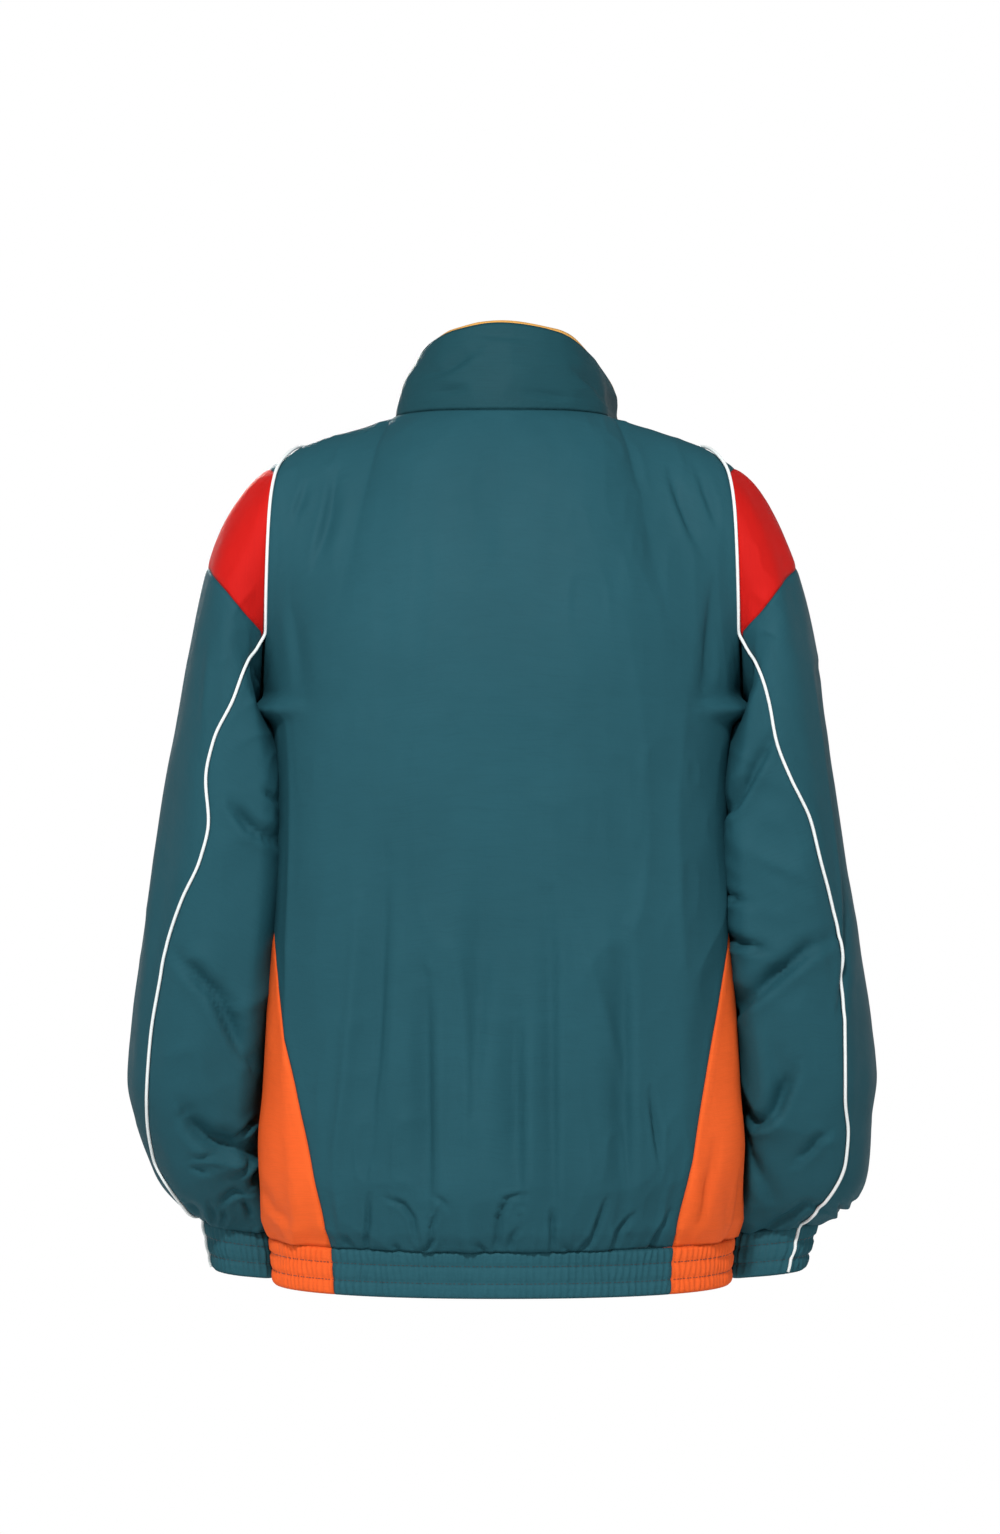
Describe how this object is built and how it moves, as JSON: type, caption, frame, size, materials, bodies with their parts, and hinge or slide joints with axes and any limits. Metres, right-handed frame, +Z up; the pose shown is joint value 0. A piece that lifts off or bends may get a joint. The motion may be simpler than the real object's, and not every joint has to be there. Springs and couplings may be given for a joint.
{
  "type": "track jacket",
  "caption": "Worn zip-front nylon track jacket with a stand collar, piped sleeves, side gussets and elastic hem and cuffs.",
  "frame": {"origin": "middle of the neck opening, level with the collar's seam at the back", "axes": "+Z up, -Y towards the jacket's front, +X towards the wearer's left"},
  "size_m": [0.6, 0.3002, 0.7646],
  "materials": {
    "teal_nylon": "fine nylon weave with a soft sheen",
    "red_nylon": "fine nylon weave with a soft sheen",
    "orange_nylon": "fine nylon weave with a soft sheen",
    "yellow_facing": "matt cotton weave",
    "white_piping": "satin cord",
    "zip_coil": "woven tape with a plastic coil",
    "zip_metal": "satin"
  },
  "bodies": {
    "jacket": {"back_panel": "teal_nylon", "front_left": "teal_nylon", "front_right": "teal_nylon", "side_gusset_left": "orange_nylon", "side_gusset_right": "orange_nylon", "hem_back": "teal_nylon", "hem_side_left": "orange_nylon", "hem_side_right": "orange_nylon", "hem_front_left": "teal_nylon", "hem_front_right": "teal_nylon", "collar_outer": "teal_nylon", "collar_facing": "yellow_facing", "sleeve_cap_left": "teal_nylon", "sleeve_cap_right": "teal_nylon", "shoulder_chevron_left": "red_nylon", "shoulder_chevron_right": "red_nylon", "sleeve_outer_left": "teal_nylon", "sleeve_outer_right": "teal_nylon", "sleeve_under_left": "teal_nylon", "sleeve_under_right": "teal_nylon", "cuff_left": "teal_nylon", "cuff_right": "teal_nylon", "piping_left": "white_piping", "piping_right": "white_piping", "zip_left": "zip_coil", "zip_right": "zip_coil", "zip_slider": "zip_metal"},
    "pull_tab": {"zip_pull": "zip_metal"}
  },
  "joints": [
    {"name": "pull_tab_hinge", "type": "hinge", "parent": "jacket", "child": "pull_tab", "pos_m": [0, -0.1604, -0.238], "axis": [-1, 0, 0], "range_deg": [0, 150]}
  ]
}
